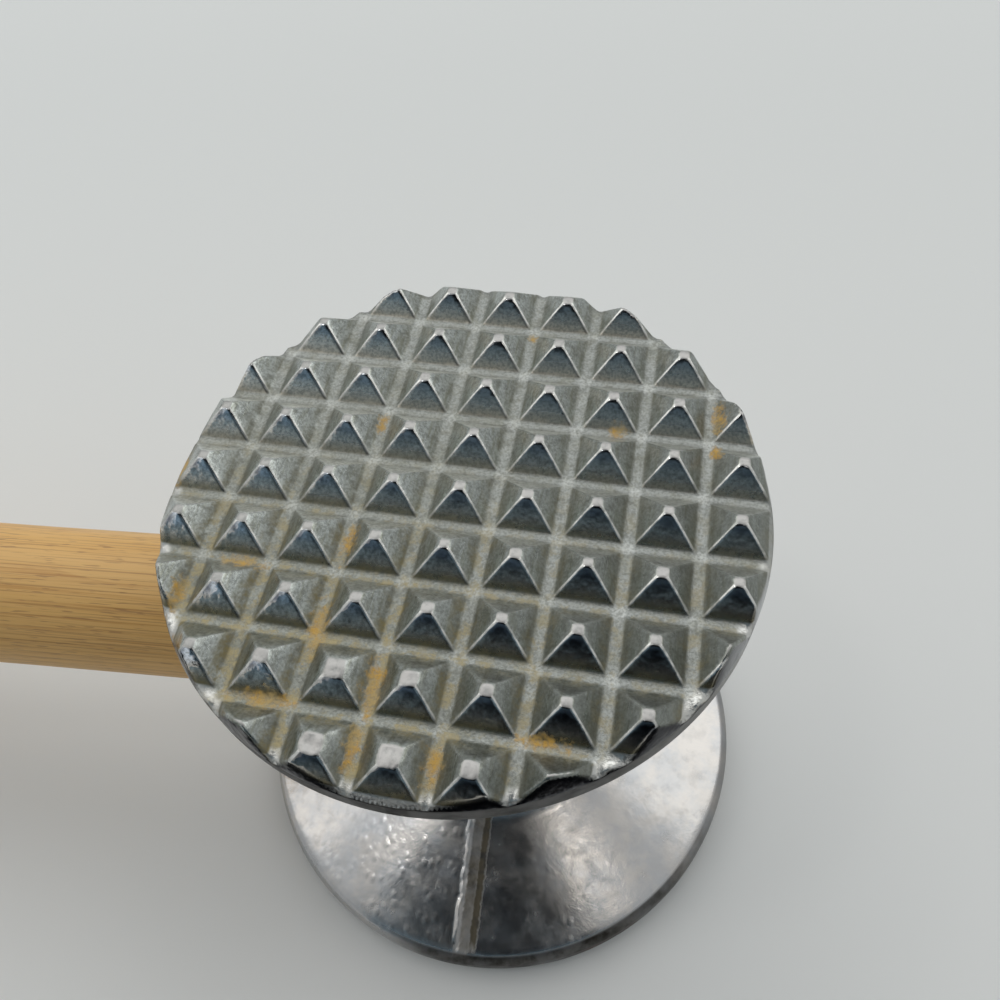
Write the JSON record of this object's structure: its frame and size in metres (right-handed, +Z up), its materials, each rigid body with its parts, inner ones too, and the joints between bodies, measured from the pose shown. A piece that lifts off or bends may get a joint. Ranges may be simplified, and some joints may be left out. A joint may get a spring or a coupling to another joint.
{
  "type": "meat mallet",
  "caption": "Hand meat mallet: cast aluminium spool head with a coarse and a fine toothed face, pinned to a turned beech handle.",
  "frame": {"origin": "middle of the fine striking face, on the flat tip of its middle tooth, where the head stands", "axes": "+Z up along the head towards the coarse face, handle along -X, parting line of the casting on the YZ plane"},
  "size_m": [0.2523, 0.0746, 0.0711],
  "materials": {
    "cast_aluminium": "tumbled and polished casting, matt in the grooves",
    "beech": "turned, sanded, light oil",
    "pin_steel": "drawn rod, plain"
  },
  "bodies": {
    "root": {"head_casting": "cast_aluminium", "beech_handle": "beech", "cross_pin": "pin_steel"}
  },
  "joints": []
}
